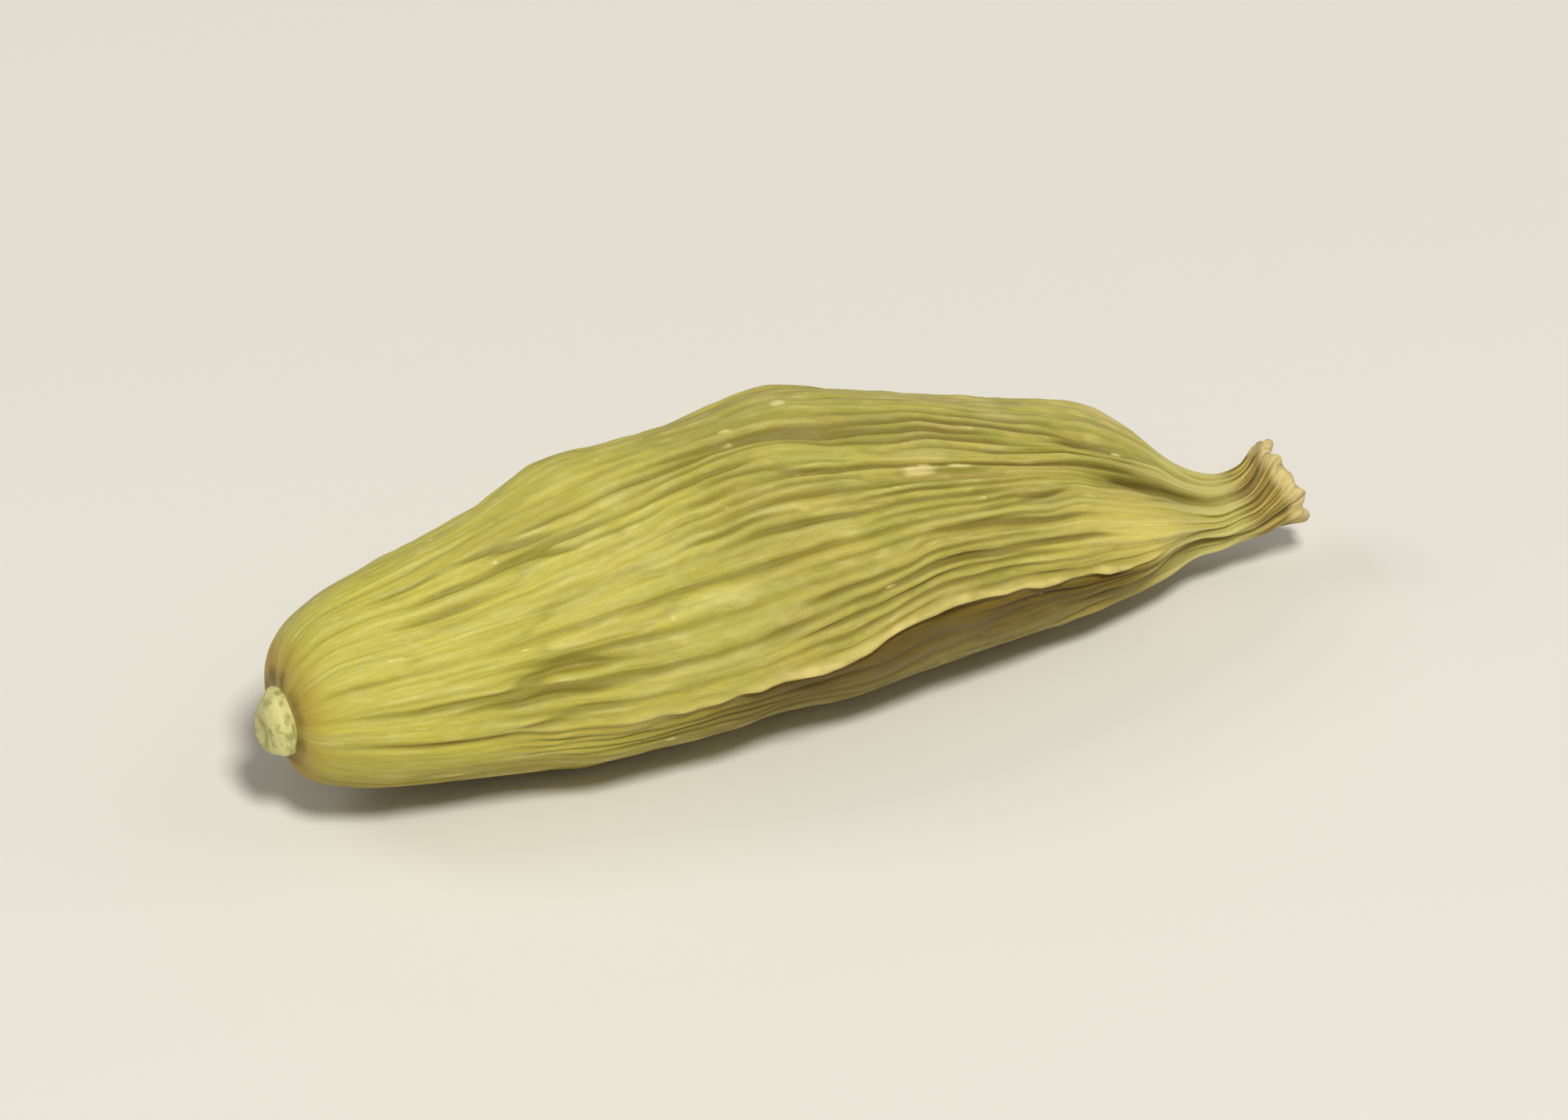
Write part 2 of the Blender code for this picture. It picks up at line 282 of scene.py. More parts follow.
# Smooth noises over the skin: size, and how often each changes along a millimetre and round the pod. Each
# draws its numbers from its own seed, by its place in this table.
SEED = 11
NOISE_REACH = (-1.0, 23.0)
NOISES = {
    "groove_uneven": (0.28, 0.6, RIBS),
    "seam_teeth": (0.55, 2.6, ANGLES),
    "stray": (1.2, 0.45, 18),
    "crease": (1.0, 0.42, 58),
    "crease_share": (0.5, 0.5, 12),
    "wrinkle": (0.020, 0.55, 120),
    "bead": (0.028, 1.7, 84),
    "dent": (0.060, 0.55, 15),
    "seam_crooked": (1.6, 1.1, ANGLES),
    "split": (1.0, 0.50, RIBS),
    "fine_stray": (0.9, 1.5, 40),
    "speck_ragged": (0.35, 7.0, 190),
    "groove_broken": (0.16, 1.3, RIBS),
}

# Creases that wander. All the fine relief fades at the nub and in the stub, and near the middle line.
CREASE_DEPTH = 0.045
CREASE_SHAPE = 9
CREASE_SHARE_MEAN = 0.5
FINE_ALONG = [(0.45, 0.0), (1.2, 0.3), (7.0, 1.0), (20.2, 1.0), (21.3, 0.5), (21.6, 0.2)]
FINE_FROM_RADIUS = 0.5

# Raised tan specks: how many, and their places and sizes. The large ones have places of their own: place,
# angle, half length and half width.
SPECKS = 90
SPECK_PLACES = (1.5, 19.0)
SPECK_HALF_LENGTH = (0.05, 0.20)
SPECK_HALF_WIDTH = (0.025, 0.055)
SPECK_HEIGHT = 0.022
SPECK_RAGGED_MEAN = 0.75
SPECK_SKIN_RADIUS = 2.8
LARGE_SPECKS = [(13.3, 67.4, 0.40, 0.21), (14.1, 68.4, 0.34, 0.11), (11.2, 105.4, 0.16, 0.08),
                (10.0, 98.8, 0.14, 0.07)]

# Where the skin's colour changes: angle and half width of the top, painted greyer and darker as shade, and of
# the underside, painted darker as shade; the painted shade below the front seam by its angle from the seam;
# and how many rings inside the rim the stub's hollow turns brown.
UPPER_ROUND = (118.0, 50.0)
LOWER_ROUND = (270.0, 62.0)
BELOW_SEAM = [(-50.0, 0.0), (-22.0, 0.75), (-4.0, 1.0), (-1.5, 0.0)]
INSIDE_RINGS = 6.0

# The skin's textures are wrapped round this radius. The bumps of its fibres and pores are in metres.
GRAIN_RADIUS = 3.0
FIBRE_BUMP = 0.00004
PORE_BUMP = 0.00002


def eased(at, rows):
    """A smooth curve through rows of (place, value) that never overshoots them, read at the places in at."""
    places, values = np.array(rows, float).T
    run = np.diff(places)
    slope = np.diff(values) / run
    turn = np.concatenate([slope[:1], np.zeros(len(slope) - 1), slope[-1:]])
    before, after = slope[:-1], slope[1:]
    level = before * after <= 0
    total = np.where(level, 1.0, before + after)
    turn[1:-1] = np.where(level, 0.0, 2 * before * after / total)
    at = np.clip(at, places[0], places[-1])
    i = np.clip(np.searchsorted(places, at, side="right") - 1, 0, len(run) - 1)
    t = (at - places[i]) / run[i]
    start = values[i] * (1 + 2 * t) + turn[i] * run[i] * t
    end = values[i + 1] * (3 - 2 * t) - turn[i + 1] * run[i] * (1 - t)
    return start * (1 - t) ** 2 + end * t**2


def outline_rings():
    """Place along the pod and radius of every ring, closer together where the crowding is greater."""
    along, radius = np.array(OUTLINE, float).T
    walked = np.concatenate([[0.0], np.cumsum(np.hypot(np.diff(along), np.diff(radius)))])
    along_at = np.stack([walked, along], 1)
    radius_at = np.stack([walked, radius], 1)
    fine = np.linspace(0.0, walked[-1], STEPS_PER_RING * RINGS)
    crowd = np.cumsum(eased(eased(fine, along_at), CROWDING))
    crowd = (crowd - crowd[0]) / (crowd[-1] - crowd[0])
    stops = np.interp(np.linspace(0.0, 1.0, RINGS + 1), crowd, fine)
    return eased(stops, along_at), eased(stops, radius_at)


def apart(angle, other):
    """The angle between two directions round the pod, in degrees, from -180 to 180."""
    return (angle - other + 180.0) % 360.0 - 180.0


def bump(distance, half_width):
    return np.exp(-((distance / half_width) ** 2))


def band(angle, row):
    """A soft band along the pod, from 0 to 1: the angle of its middle, and its half width."""
    middle, half_width = row
    return bump(apart(angle, middle), half_width)


def patch(x, angle, row):
    """A soft patch of the skin, from 0 to 1: its place and angle, and its half length and half width."""
    place, middle, half_length, half_width = row
    return bump(x - place, half_length) * bump(apart(angle, middle), half_width)


def noise(x, angle, name):
    """A smooth noise of the table, up to its size either way, which closes on itself round the pod."""
    size, per_mm, per_turn = NOISES[name]
    seed = SEED + 1 + list(NOISES).index(name)
    first, last = NOISE_REACH
    rows = int((last - first + 1) * per_mm) + 3
    grid = np.random.default_rng(seed).uniform(-1.0, 1.0, (rows, per_turn))
    u = (np.clip(x, first, last) - first) * per_mm
    v = angle % 360.0 / 360.0 * per_turn
    i, j = np.floor(u).astype(int), np.floor(v).astype(int) % per_turn
    s, t = u - np.floor(u), v - np.floor(v)
    s, t = s * s * (3 - 2 * s), t * t * (3 - 2 * t)
    right = (j + 1) % per_turn
    near = grid[i, j] * (1 - t) + grid[i, right] * t
    far = grid[i + 1, j] * (1 - t) + grid[i + 1, right] * t
    return size * (near * (1 - s) + far * s)


def wave(angle, *turns):
    """A ripple round the pod, from its numbers of turns."""
    total = 0.0
    for k, n in enumerate(turns):
        total = total + np.cos(np.radians(n * angle) + WAVE_STEP * k)
    return total / len(turns)


def groove_draws():
    """Each groove's own share of the depth, and where along it the deepening and fading starts."""
    draw = random.Random(SEED)
    share = np.array([draw.uniform(*GROOVE_SHARES) for _ in range(RIBS)])
    start = np.array([draw.uniform(0.0, 2 * np.pi) for _ in range(RIBS)])
    return share, start


def rib_strength(x, angle):
    """How strong the ribs are: faint at the upper angle, under the front seam and on the neck's bulge."""
    smooth = 1 - SMOOTH_SHARE * band(angle, (FIRST_ANGLE + SMOOTH_ANGLE * 360.0 / ANGLES, SMOOTH_HALF_WIDTH))
    bare = 1 - BARE_SHARE * patch(x, angle, BARE_BULGE)
    faint = 1 - FAINT_SHARE * band(angle, FAINT_ROUND)
    return smooth * bare * faint


def splits(x, angle):
    """Depth of the thin grooves that split the ribs' crests here and there."""
    crest = ((1 - np.cos(2 * np.pi * angle * RIBS / 360.0)) / 2) ** SPLIT_SHAPE
    often = np.clip(SPLIT_OFTEN + noise(x, angle, "split"), 0, 1)
    return SPLIT_DEPTH * crest * often * eased(x, SPLIT_ALONG)


def grooves(x, angle):
    """Depth of the grooves between the ribs, which deepen and fade along the pod, each in its own way."""
    share, start = groove_draws()
    phase = angle * RIBS / 360.0
    nearest = np.round(phase).astype(int) % RIBS
    valley = ((1 + np.cos(2 * np.pi * phase)) / 2) ** eased(x, GROOVE_SHAPE)
    valley = valley * np.where(nearest % 2 == 1, eased(x, ODD_GROOVES_ALONG), 1.0)
    fading = GROOVE_MEAN + GROOVE_SWING * np.sin(GROOVE_SWING_RATE * x + start[nearest])
    fading = fading + noise(x, angle, "groove_uneven") + noise(x, angle, "groove_broken")
    fading = GROOVE_SCALE * np.clip(fading, *GROOVE_FADING)
    deeper = 1 + DEEPER_SHARE * eased(x, DEEPER_ALONG) * band(angle, DEEPER_ROUND)
    depth = GROOVE_DEPTH * share[nearest] * fading * deeper * valley
    return (depth + splits(x, angle)) * rib_strength(x, angle) * eased(x, GROOVE_ALONG)


def seams(x, angle):
    """The thin raised seam along each of the three angles, a little crooked, with small teeth."""
    same_angle = np.zeros_like(angle)
    crooked = noise(x, same_angle, "seam_crooked")
    teeth = SEAM_TOOTH_MEAN + noise(x, same_angle, "seam_teeth")
    height = 0.0
    for k, share in enumerate(SEAM_SHARES):
        height = height + share * band(angle, (FIRST_ANGLE + k * 360.0 / ANGLES + crooked, SEAM_HALF_WIDTH))
    return height * teeth * eased(x, SEAM_ALONG)


def seed_lumps(x, angle):
    """Soft lumps over the rows of seeds, each a little out of its place."""
    draw = random.Random(SEED + 1)
    first, last = SEED_PLACES
    height = 0.0
    for row in range(SEED_ROWS):
        middle = FIRST_ANGLE + (row + 0.5) * 360.0 / SEED_ROWS
        place = first + (row % 2) * SEED_SPACING / 2
        while place < last:
            here = place + SEED_SHIFT_ALONG * draw.uniform(-1, 1)
            aside = middle + SEED_SHIFT_ROUND * draw.uniform(-1, 1)
            height = height + patch(x, angle, (here, aside, SEED_HALF_LENGTH, SEED_HALF_WIDTH))
            place += SEED_SPACING
    return SEED_HEIGHT * (height - SEED_LEVEL)


def folds(x, angle):
    height = 0.0
    for *row, rise in FOLDS:
        height = height + rise * patch(x, angle, row)
    return height


def slits(x, angle):
    """Depth of the narrow slits, which drift round the pod on their way along it."""
    depth = 0.0
    for place, middle, half_length, half_width, size, drift in SLITS:
        drifted = middle + drift * (x - place)
        depth = np.maximum(depth, size * patch(x, angle, (place, drifted, half_length, half_width)))
    return depth


def creases(x, angle):
    """Thin wandering creases, from 0 to 1, where a slow noise changes sign."""
    line = 1 - np.abs(noise(x, angle, "crease"))
    return np.clip(line, 0, 1) ** CREASE_SHAPE * (CREASE_SHARE_MEAN + noise(x, angle, "crease_share"))


def specks(x, angle):
    """Where the raised specks are, from 0 to 1."""
    draw = random.Random(SEED + 2)
    rows = list(LARGE_SPECKS)
    for _ in range(SPECKS):
        rows.append((draw.uniform(*SPECK_PLACES), draw.uniform(0.0, 360.0), draw.uniform(*SPECK_HALF_LENGTH),
                     draw.uniform(*SPECK_HALF_WIDTH)))
    found = np.zeros_like(x)
    for place, middle, half_length, half_width in rows:
        around = np.radians(apart(angle, middle)) * SPECK_SKIN_RADIUS
        found = np.maximum(found, bump(x - place, half_length) * bump(around, half_width))
    return np.clip(found * (SPECK_RAGGED_MEAN + noise(x, angle, "speck_ragged")), 0, 1)


def wander(x, angle):
    """How far the ribs stray to the side of a straight run, in degrees."""
    stray = 0.0
    for middle, half_width, rows in LOCAL_STRAYS:
        stray = stray + eased(x, rows) * band(angle, (middle, half_width))
    for size, turns, rate, start in STRAYS:
        stray = stray + size * np.sin(np.radians(turns * angle) + rate * x + start)
    return stray + noise(x, angle, "stray") + noise(x, angle, "fine_stray")


def body_shape(x, angle):
    """The pod's section as a share of its radius: three-sided, pleated at the neck and lobed at the nub."""
    side = np.cos(np.radians(ANGLES * (angle - FIRST_ANGLE)))
    body = 1 + THREE_SIDED * side * eased(x, THREE_SIDED_ALONG)
    body = body + PLEAT_SHARE * wave(angle, *PLEATS) * eased(x, PLEATS_ALONG)
    body = body + FINE_PLEAT_SHARE * wave(angle, *FINE_PLEATS) * eased(x, PLEATS_ALONG)
    return body + NUB_LOBE_SHARE * wave(angle, *NUB_LOBES) * eased(x, NUB_ALONG)


def placed(x, radius, angle, reach, turned):
    """Points this far from the bent middle line, on rings that lean, with the rim torn and the nub uneven."""
    lean = np.radians(eased(x, LEAN))
    torn = TORN * wave(angle, *TORN_TEETH) * eased(x, TORN_ALONG)
    uneven = wave(angle + NUB_SADDLE_TURN, 2) * (radius / NUB_RADIUS) ** 2
    saddle = NUB_SADDLE * uneven * eased(x, NUB_ALONG)
    bend = eased(x, BEND)
    up = reach * np.sin(turned)
    across = -reach * np.cos(turned)
    return np.stack([
        x - up * np.sin(lean) + torn * np.cos(lean) - saddle,
        BEND_BACK * bend + across,
        BEND_UP * bend + up * np.cos(lean) + torn * np.sin(lean),
    ], axis=-1)


def pod_surface(x, radius, angle):
    """Points of the pod in millimetres, for places along and angles round it, and what its material reads."""
    husk = eased(x, HUSK_ALONG)
    groove, seam, speck, crease = grooves(x, angle), seams(x, angle), specks(x, angle), creases(x, angle)
    slit, fold = slits(x, angle), folds(x, angle)
    crest = noise(x, angle, "wrinkle") + noise(x, angle, "bead")
    fine = crest + noise(x, angle, "dent") - CREASE_DEPTH * crease + SPECK_HEIGHT * speck
    fine = fine * eased(x, FINE_ALONG) * np.clip(radius / FINE_FROM_RADIUS, 0, 1)
    relief = SEAM_HEIGHT * seam - groove + husk * (seed_lumps(x, angle) + fold - slit) + fine
    reach = radius * body_shape(x, angle) + relief
    turned = np.radians(angle + husk * wander(x, angle) + eased(x, TWIST))
    coarse, thin = FLUTE_SHARES
    flute = coarse * wave(angle, *PLEATS) + thin * wave(angle, *FINE_PLEATS)
    floats = {
        "along": x,
        "bulge": patch(x, angle, BARE_BULGE),
        "groove": (groove + slit) / GROOVE_DEPTH,
        "hollow": np.clip(-fold / DARK_FOLD, 0, 1),
        "flute": (1 - flute) / 2,
        "crease": crease,
        "seam": seam,
        "speck": speck,
        "crest": crest / (NOISES["wrinkle"][0] + NOISES["bead"][0]),
        "below_seam": eased(apart(angle, FIRST_ANGLE), BELOW_SEAM) * eased(x, SEAM_ALONG),
        "upper": band(np.degrees(turned), UPPER_ROUND),
        "lower": band(np.degrees(turned), LOWER_ROUND),
    }
    return placed(x, radius, angle, reach, turned), floats


def skin_grain(x, radius, angle):
    """The skin's own coordinates, for its textures: along the pod, and round a circle."""
    girth = np.where(x < NUB_END, radius, GRAIN_RADIUS)
    return np.stack([x, girth * np.cos(np.radians(angle)), girth * np.sin(np.radians(angle))], axis=-1)


def laid_down(points):
    """The points moved so that the pod lies where the solid does, with its flat spot pressed."""
    low, high = (np.array(corner) / METRES_PER_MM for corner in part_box(NODE))
    middle = (low + high) / 2 - (points.min(axis=0) + points.max(axis=0)) / 2
    points = points + [middle[0], middle[1], low[2] - points[:, 2].min() - REST_PRESS]
    points[:, 2] = np.maximum(points[:, 2], low[2])
    return points


def linear(red, green, blue):
    """A colour given by its screen values, from 0 to 255, as the shader wants it."""
    screen = np.array([red, green, blue]) / 255.0
    light = np.where(screen <= 0.04045, screen / 12.92, ((screen + 0.055) / 1.055) ** 2.4)
    return (*[float(v) for v in light], 1.0)


class Shading:
    """Short ways to add a material's nodes. Each returns the socket that the next node reads."""

    def __init__(self, name):
        self.material = bpy.data.materials.new(name)
        self.material.use_nodes = True
        self.tree = self.material.node_tree
        self.shader = self.tree.nodes["Principled BSDF"]

    def node(self, kind, values, **settings):
        made = self.tree.nodes.new(kind)
        for key, value in settings.items():
            setattr(made, key, value)
        for socket, value in values.items():
            self.feed(made.inputs[socket], value)
        return made

    def feed(self, socket, value):
        if isinstance(value, bpy.types.NodeSocket):
            self.tree.links.new(value, socket)
        else:
            socket.default_value = value

    def attribute(self, name):
        return self.node("ShaderNodeAttribute", {}, attribute_name=name).outputs["Fac"]

    def grain(self, along, around):
        """The skin's own coordinates, with this many millimetres along and round the pod to a unit."""
        skin = self.node("ShaderNodeAttribute", {}, attribute_name="grain").outputs["Vector"]
        scale = (1 / along, 1 / around, 1 / around)
        return self.node("ShaderNodeMapping", {"Vector": skin, "Scale": scale}).outputs["Vector"]

    def noise(self, along, around, detail=2.0, roughness=0.5):
        values = {"Vector": self.grain(along, around), "Scale": 1.0, "Detail": detail, "Roughness": roughness}
        return self.node("ShaderNodeTexNoise", values).outputs["Fac"]

    def between(self, value, low, high, to_low=0.0, to_high=1.0):
        """The value's way from low to high, eased, and clamped at both ends."""
        values = {"Value": value, "From Min": low, "From Max": high, "To Min": to_low, "To Max": to_high}
        return self.node("ShaderNodeMapRange", values, interpolation_type="SMOOTHSTEP").outputs["Result"]

    def math(self, operation, first, second):
        return self.node("ShaderNodeMath", {0: first, 1: second}, operation=operation).outputs[0]

    def larger(self, first, second):
        return self.math("MAXIMUM", first, second)

    def times(self, *shares):
        product = shares[0]
        for share in shares[1:]:
            product = self.math("MULTIPLY", product, share)
        return product

    def blend(self, share, first, second, how="MIX"):
        mix = self.tree.nodes.new("ShaderNodeMix")
        mix.data_type = "RGBA"
        mix.blend_type = how
        mix.clamp_factor = True
        self.feed(mix.inputs[0], share)
        self.feed(mix.inputs[6], first)
        self.feed(mix.inputs[7], second)
        return mix.outputs[2]

    def bumped(self, height, strength, distance, **before):
        """The surface's normal, roughened by a height, over an earlier one where it is given."""
        values = {"Strength": strength, "Distance": distance, "Height": height, **before}
        return self.node("ShaderNodeBump", values).outputs["Normal"]

    def set(self, **sockets):
        for name, value in sockets.items():
            self.feed(self.shader.inputs[name.replace("_", " ")], value)


YELLOW_GREEN = linear(203, 194, 80)
KHAKI = linear(188, 173, 82)
# Painted shade: the top's greyer, darker colour.
TOP_SHADE = linear(182, 171, 82)
# Pale patches, also painted highlights on crests, ridges and the neck's pleats.
PALE_PATCH_AND_HIGHLIGHT = linear(214, 203, 126)
# The bulge's yellow, brightened as a painted highlight.
LOBE_YELLOW_HIGHLIGHT = linear(226, 210, 108)
TAN = linear(206, 184, 118)
# Painted shade in grooves, creases, folds and the neck's pleats, partly their own darker colour.
GROOVE_SHADE_GREEN = linear(124, 110, 26)
GROOVE_SHADE_BROWN = linear(104, 84, 24)
# Painted shade for the underside.
UNDERSIDE_SHADE = linear(178, 160, 24)
SEAM_SHADE = linear(148, 128, 10)
LEAF_GREEN = linear(160, 160, 68)
OLIVE = linear(150, 136, 56)
# The seams' pale colour with a painted highlight along their ridges.
SEAM_CREAM_HIGHLIGHT = linear(222, 202, 124)
SPECK_TAN = linear(232, 216, 148)
NUB_CREAM = linear(216, 210, 140)
NUB_GREEN = linear(158, 158, 84)
RING_TAN = linear(186, 146, 40)
RING_BROWN = linear(118, 84, 24)
STRAW = linear(206, 184, 92)
# The stub's brown fibres, and painted shade between its flutes and underneath.
STUB_BROWN_AND_SHADE = linear(82, 58, 18)
RIM_CREAM = linear(226, 206, 142)
FLOOR_PAPER = linear(234, 231, 223)


def broad_colour(s):
    """Broad colour: yellower by the nub, greyer on top with painted shade, olive and tan in patches."""
    along = s.attribute("along")
    upper = s.times(s.attribute("upper"), s.between(along, 6.5, 12.0))
    patches = s.between(s.noise(2.4, 0.9, 3.0), 0.40, 0.62)
    colour = s.blend(s.times(patches, 0.6), KHAKI, YELLOW_GREEN)
    colour = s.blend(s.between(along, 3.0, 13.0, 0.65, 0.0), colour, YELLOW_GREEN)
    # Painted shade: the top darker and greyer.
    colour = s.blend(s.times(upper, 0.65), colour, TOP_SHADE)
    deep = s.times(s.between(along, 7.0, 10.0), s.between(s.noise(2.6, 0.8, 1.0), 0.45, 0.65))
    colour = s.blend(s.times(deep, 0.25), colour, OLIVE)
    tan = s.times(s.between(along, 8.0, 15.0), upper, s.between(s.noise(1.3, 0.25, 3.0), 0.50, 0.62))
    return s.blend(s.times(tan, 0.8), colour, TAN)


def mottled(s, colour):
    """Pale and green mottling, the yellow bulge, painted shade underneath, crests and ridges painted pale as
    highlights, and fibres.
    """
    along = s.attribute("along")
    pale = s.between(s.noise(0.55, 0.20, 3.0, 0.6), 0.52, 0.68)
    colour = s.blend(s.times(pale, 0.45), colour, PALE_PATCH_AND_HIGHLIGHT)
    green = s.times(s.between(along, 5.0, 12.0), s.between(s.noise(0.9, 0.35, 4.0), 0.48, 0.60))
    colour = s.blend(s.times(green, 0.55), colour, LEAF_GREEN)
    # The bulge yellower and brighter: partly its colour, partly a painted highlight.
    colour = s.blend(s.attribute("bulge"), colour, LOBE_YELLOW_HIGHLIGHT)
    # Painted shade: the underside darker.
    colour = s.blend(s.attribute("lower"), colour, UNDERSIDE_SHADE, "MULTIPLY")
    # Painted highlight: the fine relief's crests paler.
    crest = s.between(s.attribute("crest"), 0.0, 1.0)
    colour = s.blend(s.times(crest, 0.50), colour, PALE_PATCH_AND_HIGHLIGHT)
    # Painted highlight: the ribs' crests paler.
    ridge = s.times(s.between(along, 4.0, 10.0), s.between(s.attribute("groove"), 0.0, 0.12, 1.0, 0.0))
    colour = s.blend(s.times(ridge, 0.22), colour, PALE_PATCH_AND_HIGHLIGHT)
    streaks = s.between(s.noise(2.4, 0.10, 1.0), 0.35, 0.65, 0.92, 1.05)
    colour = s.blend(1.0, colour, streaks, "MULTIPLY")
    flecks = s.between(s.noise(0.30, 0.08, 2.0), 0.35, 0.65, 0.96, 1.04)
    return s.blend(1.0, colour, flecks, "MULTIPLY")


def grooved(s, colour):
    """Grooves, creases and hollows darker, as painted shade and partly their own colour, from green to brown
    towards the neck.
    """
    along = s.attribute("along")
    shade = s.blend(s.between(along, 8.0, 17.0), GROOVE_SHADE_GREEN, GROOVE_SHADE_BROWN)
    # Painted shade: deeper grooves, slits, creases and folds darker.
    depth = s.larger(s.between(s.attribute("groove"), 0.12, 0.75), s.times(s.attribute("crease"), 0.6))
    strength = s.between(along, 2.0, 12.0, 0.66, 0.72)
    depth = s.larger(s.times(depth, strength), s.times(s.attribute("hollow"), 0.6))
    return s.blend(depth, colour, shade)


def marked(s, colour):
    """The painted shade below the front seam, the patchy cream seams with a painted highlight, and the tan
    specks.
    """
    colour = s.blend(s.attribute("below_seam"), colour, SEAM_SHADE, "MULTIPLY")
    patchy = s.between(s.noise(0.6, 2.0, 2.0), 0.40, 0.60, 0.35, 0.9)
    # Seams paler in patches: partly their colour, partly a painted highlight.
    colour = s.blend(s.times(s.between(s.attribute("seam"), 0.15, 0.7), patchy), colour, SEAM_CREAM_HIGHLIGHT)
    return s.blend(s.times(s.between(s.attribute("speck"), 0.2, 0.6), 0.85), colour, SPECK_TAN)


def with_nub(s, husk):
    """The pale nub, the tan stain round its foot and the brown crease between the two."""
    along = s.attribute("along")
    mottle = s.between(s.noise(0.16, 0.22, 4.0, 0.6), 0.46, 0.62)
    nub = s.blend(s.times(mottle, 0.75), NUB_CREAM, NUB_GREEN)
    uneven = s.between(s.noise(2.0, 1.3, 1.0), 0.35, 0.65, 0.20, 0.85)
    stained = s.blend(s.times(s.between(along, 0.50, 0.95, 1.0, 0.0), uneven), husk, RING_TAN)
    creased = s.blend(s.times(s.between(along, 0.46, 0.54, 1.0, 0.0), uneven), stained, RING_BROWN)
    return s.blend(s.between(along, 0.42, 0.47, 1.0, 0.0), creased, nub)


def with_stub(s, husk):
    """The pleated neck and the dry stub: straw with brown fibres, painted brown as shade between its flutes
    and underneath, pleat crests painted pale as highlight, a cream rim.
    """
    along = s.attribute("along")
    flute = s.attribute("flute")
    neck = s.between(along, 17.5, 19.0)
    # Painted light on the neck: pleats' crests pale as highlight, their folds brown as shade.
    pleated = s.blend(s.times(neck, s.between(flute, 0.35, 0.60, 0.75, 0.0)), husk, PALE_PATCH_AND_HIGHLIGHT)
    pleated = s.blend(s.times(neck, s.between(flute, 0.60, 0.85, 0.0, 0.30)), pleated, GROOVE_SHADE_BROWN)
    # Painted shade: brown between the stub's flutes and underneath.
    dark = s.larger(s.between(flute, 0.42, 0.75), s.attribute("lower"))
    fibres = s.between(s.noise(1.2, 0.09, 2.0), 0.40, 0.58)
    dark = s.larger(s.times(dark, 0.85), s.times(fibres, 0.75))
    stub = s.blend(dark, STRAW, STUB_BROWN_AND_SHADE)
    colour = s.blend(s.between(along, 19.9, 20.6), pleated, stub)
    rim = s.times(s.between(along, 20.95, 21.18), s.between(s.noise(0.5, 0.25, 2.0), 0.35, 0.60, 0.4, 1.0))
    colour = s.blend(rim, colour, RIM_CREAM)
    return s.blend(s.between(s.attribute("inside"), 0.6, 1.0), colour, STUB_BROWN_AND_SHADE)


def husk_material():
    s = Shading("cardamom_husk_skin")
    husk = marked(s, grooved(s, mottled(s, broad_colour(s))))
    colour = with_stub(s, with_nub(s, husk))
    fibrous = s.bumped(s.noise(0.6, 0.045, 3.0, 0.6), 0.40, FIBRE_BUMP)
    normal = s.bumped(s.noise(0.05, 0.04, 2.0, 0.6), 0.35, PORE_BUMP, Normal=fibrous)
    rough = s.between(s.noise(0.9, 0.12, 2.0), 0.3, 0.7, 0.46, 0.66)
    s.set(Base_Color=colour, Roughness=rough, Normal=normal)
    s.set(Metallic=0.0, IOR=1.45, Specular_IOR_Level=0.42, Sheen_Weight=0.04, Sheen_Roughness=0.5)
    return s.material


def sphere_mesh():
    """A UV sphere's mesh, with the ring that each of its points is on, from the nub, and its angle round."""
    bm = bmesh.new()
    bmesh.ops.create_uvsphere(bm, u_segments=SEGMENTS, v_segments=RINGS, radius=1.0)
    unit = np.array([v.co for v in bm.verts])
    mesh = bpy.data.meshes.new("cardamom_husk")
    bm.to_mesh(mesh)
    bm.free()
    ring = np.round(np.arccos(np.clip(-unit[:, 2], -1, 1)) * RINGS / np.pi).astype(int)
    return mesh, ring, np.degrees(np.arctan2(unit[:, 1], unit[:, 0]))


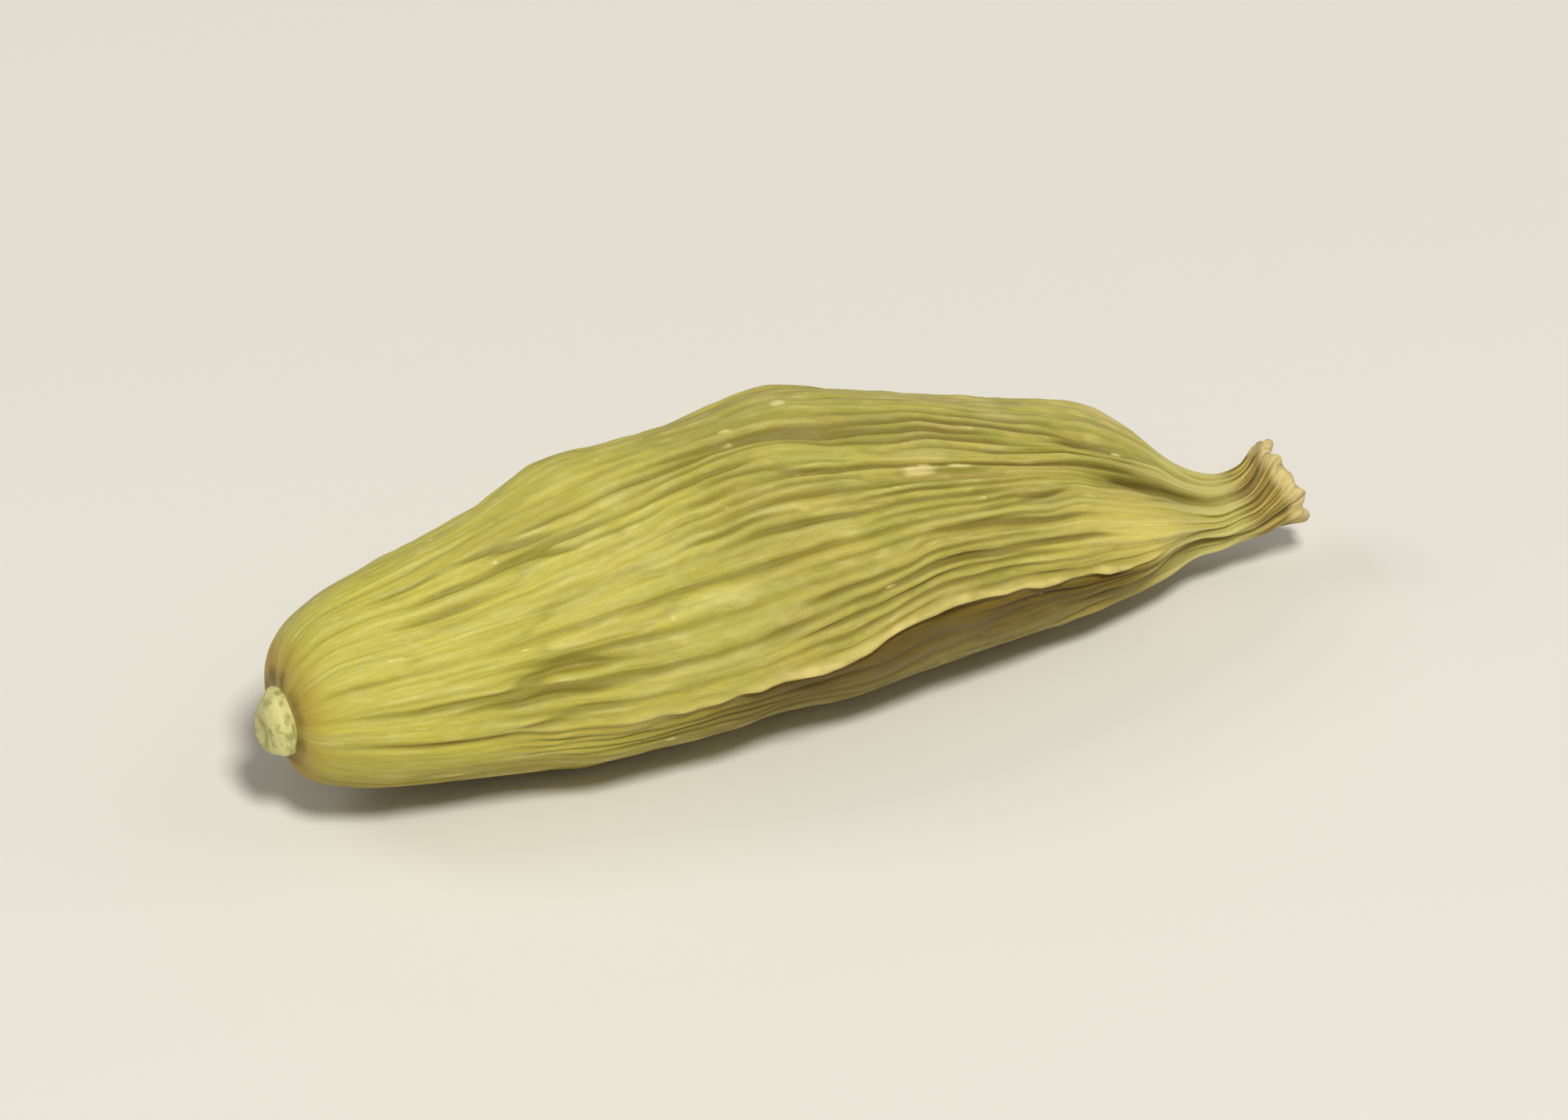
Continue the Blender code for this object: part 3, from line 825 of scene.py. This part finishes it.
def make_pod():
    """The husk in place of the solid: a UV sphere whose points are moved onto the pod's surface."""
    mesh, ring, angle = sphere_mesh()
    along, radius = outline_rings()
    points, floats = pod_surface(along[ring], radius[ring], angle)
    floats["inside"] = np.clip((ring - np.argmax(along)) / INSIDE_RINGS, 0, 1)
    grain = skin_grain(along[ring], radius[ring], angle)
    mesh.vertices.foreach_set("co", (laid_down(points) * METRES_PER_MM).ravel())
    for name, values in floats.items():
        mesh.attributes.new(name, "FLOAT", "POINT").data.foreach_set("value", values)
    mesh.attributes.new("grain", "FLOAT_VECTOR", "POINT").data.foreach_set("vector", grain.ravel())
    mesh.flip_normals()
    mesh.update()
    mesh.shade_smooth()
    mesh.materials.append(husk_material())
    pod = bpy.data.objects.new("cardamom_husk", mesh)
    bpy.context.scene.collection.objects.link(pod)
    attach(pod, "root")
    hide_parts(NODE)


def make_floor():
    bpy.ops.mesh.primitive_plane_add(size=FLOOR_SIZE, location=(0.0, 0.0, 0.0))
    floor = bpy.context.object
    floor.name = "floor"
    s = Shading("floor_paper")
    s.set(Base_Color=FLOOR_PAPER, Roughness=FLOOR_ROUGHNESS)
    floor.data.materials.append(s.material)


def direction(azimuth, elevation):
    """The way from the pod to something seen at this azimuth, from the front, and elevation."""
    a, e = np.radians(azimuth), np.radians(elevation)
    return Vector((np.sin(a) * np.cos(e), -np.cos(a) * np.cos(e), np.sin(e)))


def aim(name, data, target, away, distance):
    """A camera or light at this distance from its target, turned towards it."""
    holder = bpy.data.objects.new(name, data)
    holder.location = target + away * distance
    holder.rotation_euler = (-away).to_track_quat("-Z", "Y").to_euler()
    bpy.context.scene.collection.objects.link(holder)
    return holder


def make_camera():
    low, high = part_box(NODE)
    camera = bpy.data.cameras.new("camera")
    camera.sensor_width = SENSOR_WIDTH
    seen_width = (high.x - low.x) * np.cos(np.radians(AZIMUTH)) / POD_SHARE_OF_WIDTH
    camera.lens = SENSOR_WIDTH * CAMERA_DISTANCE / seen_width
    camera.clip_start = CLIP_START
    away = direction(AZIMUTH, ELEVATION)
    bpy.context.scene.camera = aim("camera", camera, (low + high) / 2, away, CAMERA_DISTANCE)


def make_light(name, azimuth, elevation, distance, size, power, colour):
    light = bpy.data.lights.new(name, "AREA")
    light.shape = "DISK"
    light.size = size
    light.energy = power
    light.color = colour
    aim(name, light, Vector((0.0, 0.0, 0.0)), direction(azimuth, elevation), distance)


def make_studio():
    world = bpy.data.worlds.new("studio")
    bpy.context.scene.world = world
    world.use_nodes = True
    background = world.node_tree.nodes["Background"]
    background.inputs["Color"].default_value = WORLD_COLOUR
    background.inputs["Strength"].default_value = WORLD_STRENGTH
    for row in LIGHTS:
        make_light(*row)
    bpy.context.scene.view_settings.view_transform = "Standard"


make_camera()
make_studio()
make_floor()
make_pod()
